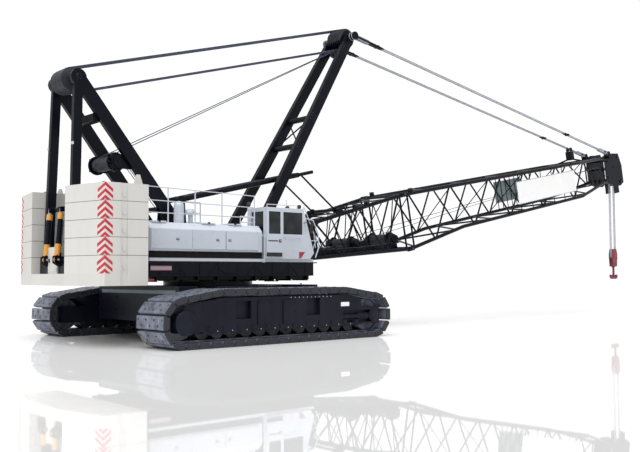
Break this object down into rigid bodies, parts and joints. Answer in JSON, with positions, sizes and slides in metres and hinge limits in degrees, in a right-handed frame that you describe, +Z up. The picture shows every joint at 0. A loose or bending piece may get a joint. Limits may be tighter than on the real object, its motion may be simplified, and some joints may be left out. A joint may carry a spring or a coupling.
{
  "type": "lattice-boom crawler crane",
  "caption": "Crawler crane with a lattice boom, live mast, gantry, twin counterweight stacks, machinery houses, hollow cab, hook block and two crawler tracks.",
  "frame": {"origin": "on the ground, on the axis about which the upper works slew", "axes": "+X forward along the boom, +Y to the operator's left (the cab is on -Y), +Z up"},
  "size_m": [29.9353, 8.22, 10.8439],
  "materials": {
    "black_blue_paint": "satin blue-black paint",
    "track_steel": "worn cast steel",
    "white_paint": "gloss white paint",
    "cream_paint": "satin cream-white paint",
    "glass": "clear tinted glass",
    "seat_fabric": "dark woven cover",
    "rope_steel": "greased wire rope",
    "red_paint": "dark red paint",
    "hook_steel": "forged steel"
  },
  "bodies": {
    "undercarriage": {"crawler_track_right": "track_steel", "crawler_track_left": "track_steel", "side_frame_right": "black_blue_paint", "side_frame_left": "black_blue_paint", "track_end_wheels": "track_steel", "track_rollers": "track_steel", "track_drive_covers": "black_blue_paint", "carbody": "black_blue_paint", "carbody_counterweights": "black_blue_paint", "slew_ring": "black_blue_paint"},
    "upperworks": {"rotating_bed": "black_blue_paint", "side_decks": "black_blue_paint", "deck_plates": "white_paint", "machinery_house_right": "white_paint", "machinery_house_left": "white_paint", "roof_handrail_right": "black_blue_paint", "roof_handrail_left": "black_blue_paint", "exhaust_silencer": "black_blue_paint", "engine": "black_blue_paint", "cab_shell": "white_paint", "cab_glass": "glass", "operator_seat": "seat_fabric", "counterweight_tray": "cream_paint", "counterweight_slabs_right": "cream_paint", "counterweight_slabs_left": "cream_paint", "rear_service_box": "cream_paint", "gantry_frame": "black_blue_paint", "gantry_sheaves": "black_blue_paint", "mast_foot_lugs": "black_blue_paint", "backstop_brackets": "black_blue_paint", "boom_hoist_ropes": "rope_steel"},
    "cab_door": {"cab_door": "white_paint", "cab_door_glass": "glass"},
    "live_mast": {"live_mast": "black_blue_paint", "mast_sheaves": "black_blue_paint"},
    "pendants": {"pendants": "rope_steel"},
    "boom": {"boom_butt": "black_blue_paint", "backstop_strut_beam": "black_blue_paint", "boom_top_section": "black_blue_paint", "boom_joint_pins": "black_blue_paint", "boom_head": "black_blue_paint", "boom_head_sheaves": "black_blue_paint"},
    "backstop_tubes": {"backstop_tubes": "black_blue_paint"},
    "backstop_rods": {"backstop_rods": "black_blue_paint"},
    "backstop_struts": {"backstop_struts": "black_blue_paint"},
    "hook_line": {"hoist_falls": "rope_steel"},
    "hook_block": {"hook_block": "red_paint"},
    "hook": {"hook": "hook_steel"},
    "house_door_right_1": {"house_door_right_1": "white_paint"},
    "house_door_right_2": {"house_door_right_2": "white_paint"},
    "house_door_right_3": {"house_door_right_3": "white_paint"},
    "house_door_left_1": {"house_door_left_1": "white_paint"},
    "house_door_left_2": {"house_door_left_2": "white_paint"},
    "house_door_left_3": {"house_door_left_3": "white_paint"}
  },
  "joints": [
    {"name": "slew", "type": "hinge", "parent": "undercarriage", "child": "upperworks", "pos_m": [0, 0, 1.6], "axis": [0, 0, 1], "continuous": true},
    {"name": "boom_luff", "type": "hinge", "parent": "upperworks", "child": "boom", "pos_m": [2.7, 0, 2.82], "axis": [0, -1, 0], "range_deg": [0, 69]},
    {"name": "mast_luff", "type": "hinge", "parent": "upperworks", "child": "live_mast", "pos_m": [1.15, 0, 2.95], "axis": [0, -1, 0], "range_deg": [0, 74.49], "deforming": ["boom_hoist_ropes"]},
    {"name": "pendant_swing", "type": "hinge", "parent": "live_mast", "child": "pendants", "pos_m": [5.75, 0, 10.5], "axis": [0, -1, 0], "range_deg": [-11.47, 0]},
    {"name": "backstop_swing", "type": "hinge", "parent": "upperworks", "child": "backstop_tubes", "pos_m": [-1.35, 0, 4.2], "axis": [0, -1, 0], "range_deg": [0, 26.58]},
    {"name": "backstop_slide", "type": "slide", "parent": "backstop_tubes", "child": "backstop_rods", "axis": [0.9733, 0, 0.2296], "range_m": [-0.601, 0]},
    {"name": "backstop_strut_swing", "type": "hinge", "parent": "boom", "child": "backstop_struts", "pos_m": [4.88213, 0, 4.17193], "axis": [0, -1, 0], "range_deg": [-126.52, 0]},
    {"name": "hook_plumb", "type": "hinge", "parent": "boom", "child": "hook_line", "pos_m": [24.33231, 0, 6.51554], "axis": [0, -1, 0], "range_deg": [-69.01, 0]},
    {"name": "hoist", "type": "slide", "parent": "hook_line", "child": "hook_block", "axis": [0, 0, 1], "range_m": [-1.5, 1.9], "deforming": ["hoist_falls"]},
    {"name": "hook_swivel", "type": "hinge", "parent": "hook_block", "child": "hook", "pos_m": [24.33231, 0, 2.25], "axis": [0, 0, 1], "continuous": true},
    {"name": "cab_door_hinge", "type": "hinge", "parent": "upperworks", "child": "cab_door", "pos_m": [0.93, -1.853, 3.2], "axis": [0, 0, -1], "range_deg": [0, 100]},
    {"name": "house_door_right_1_hinge", "type": "hinge", "parent": "upperworks", "child": "house_door_right_1", "pos_m": [-3.05, -1.773, 2.925], "axis": [0, 0, -1], "range_deg": [0, 100]},
    {"name": "house_door_right_2_hinge", "type": "hinge", "parent": "upperworks", "child": "house_door_right_2", "pos_m": [-1.69, -1.773, 2.925], "axis": [0, 0, -1], "range_deg": [0, 100]},
    {"name": "house_door_right_3_hinge", "type": "hinge", "parent": "upperworks", "child": "house_door_right_3", "pos_m": [0.64, -1.773, 2.925], "axis": [0, 0, 1], "range_deg": [0, 100]},
    {"name": "house_door_left_1_hinge", "type": "hinge", "parent": "upperworks", "child": "house_door_left_1", "pos_m": [-3.05, 1.773, 2.925], "axis": [0, 0, 1], "range_deg": [0, 100]},
    {"name": "house_door_left_2_hinge", "type": "hinge", "parent": "upperworks", "child": "house_door_left_2", "pos_m": [-1.69, 1.773, 2.925], "axis": [0, 0, 1], "range_deg": [0, 100]},
    {"name": "house_door_left_3_hinge", "type": "hinge", "parent": "upperworks", "child": "house_door_left_3", "pos_m": [0.64, 1.773, 2.925], "axis": [0, 0, -1], "range_deg": [0, 100]}
  ],
  "couplings": [
    {"joint": "mast_luff", "follows": "boom_luff", "ratio": 1.0795},
    {"joint": "pendant_swing", "follows": "boom_luff", "ratio": -0.16613},
    {"joint": "backstop_swing", "follows": "boom_luff", "ratio": 0.38515},
    {"joint": "backstop_slide", "follows": "boom_luff", "m_per_rad": -0.49822},
    {"joint": "backstop_strut_swing", "follows": "boom_luff", "ratio": -1.8335},
    {"joint": "hook_plumb", "follows": "boom_luff", "ratio": -1}
  ]
}
